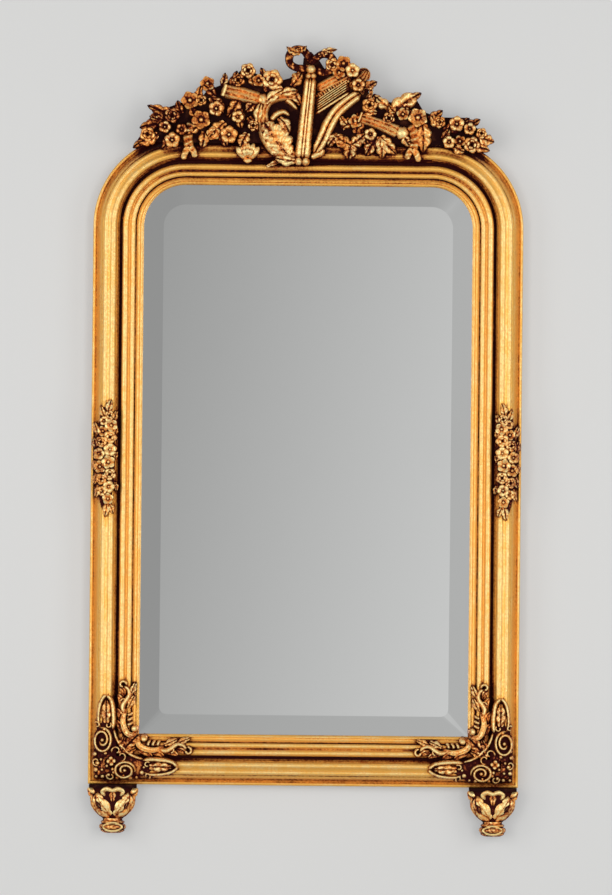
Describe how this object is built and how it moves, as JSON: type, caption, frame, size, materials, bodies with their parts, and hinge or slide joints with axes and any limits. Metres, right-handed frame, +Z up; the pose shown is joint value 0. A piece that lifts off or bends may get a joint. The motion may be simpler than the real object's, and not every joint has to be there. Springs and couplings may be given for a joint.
{
  "type": "pier mirror",
  "caption": "Pier mirror in a gilt frame with rounded upper corners, a carved trophy crest, ornament bedded on the mouldings, and small bun feet.",
  "frame": {"origin": "middle of the back panel's rear face, in the plane of the wall, halfway up the moulded frame", "axes": "+X to the viewer's right, +Z up, +Y towards the wall, so that the mirror faces -Y"},
  "size_m": [0.8, 0.086, 1.4669],
  "materials": {
    "gilt": "leaf gilding over orange-red clay, worn on the high edges and toned dark in the recesses",
    "shaded_gilt": "toned leaf gilding",
    "dark_bole": "dark clay ground with traces of gilding",
    "bare_pine": "bare, aged softwood",
    "silvered_glass": "polished, silvered on the back, with a ground and polished bevel",
    "cork": "raw cork",
    "steel": "bright drawn and pressed steel"
  },
  "bodies": {
    "frame": {"outer_stile_left": "gilt", "outer_stile_right": "gilt", "outer_top_rail": "gilt", "outer_bottom_rail": "gilt", "outer_shoulder_left": "gilt", "outer_shoulder_right": "gilt", "liner_stile_left": "gilt", "liner_stile_right": "gilt", "liner_top_rail": "gilt", "liner_bottom_rail": "gilt", "liner_shoulder_left": "gilt", "liner_shoulder_right": "gilt", "outer_dowels": "bare_pine", "liner_dowels": "bare_pine", "mitre_splines": "bare_pine", "liner_screws": "steel", "mirror_plate": "silvered_glass", "setting_pads": "cork", "glazing_blocks": "bare_pine", "backboard": "bare_pine", "backboard_screws": "steel", "foot_pad_left": "dark_bole", "foot_pad_right": "dark_bole", "foot_cup_left": "gilt", "foot_cup_right": "gilt", "foot_bun_left": "gilt", "foot_bun_right": "gilt", "foot_dowels": "bare_pine", "crest_block": "bare_pine", "crest_dowels": "bare_pine", "crest_screws": "steel", "crest_ground": "dark_bole", "lyre_frame": "gilt", "lyre_strings": "shaded_gilt", "lyre_crossbar": "gilt", "double_pipe": "gilt", "ribbon_bow": "gilt", "ribbon_tail_left": "gilt", "ribbon_tail_right": "gilt", "horn_left": "gilt", "torch_right": "gilt", "flowers_left": "gilt", "flowers_right": "gilt", "flowers_top": "gilt", "leaves_left": "gilt", "leaves_right": "gilt", "shell_rosette": "gilt", "crest_pins": "steel", "side_spray_left": "gilt", "side_spray_right": "gilt", "corner_ornament_left": "gilt", "corner_ornament_right": "gilt", "hanger_strap_left": "steel", "hanger_strap_right": "steel", "hanger_screws": "steel"},
    "ring_left": {"hanger_ring_left": "steel"},
    "ring_right": {"hanger_ring_right": "steel"}
  },
  "joints": [
    {"name": "ring_left", "type": "hinge", "parent": "frame", "child": "ring_left", "pos_m": [-0.385, -0.003, 0.3], "axis": [1, 0, 0], "range_deg": [0, 180]},
    {"name": "ring_right", "type": "hinge", "parent": "frame", "child": "ring_right", "pos_m": [0.385, -0.003, 0.3], "axis": [1, 0, 0], "range_deg": [0, 180]}
  ]
}
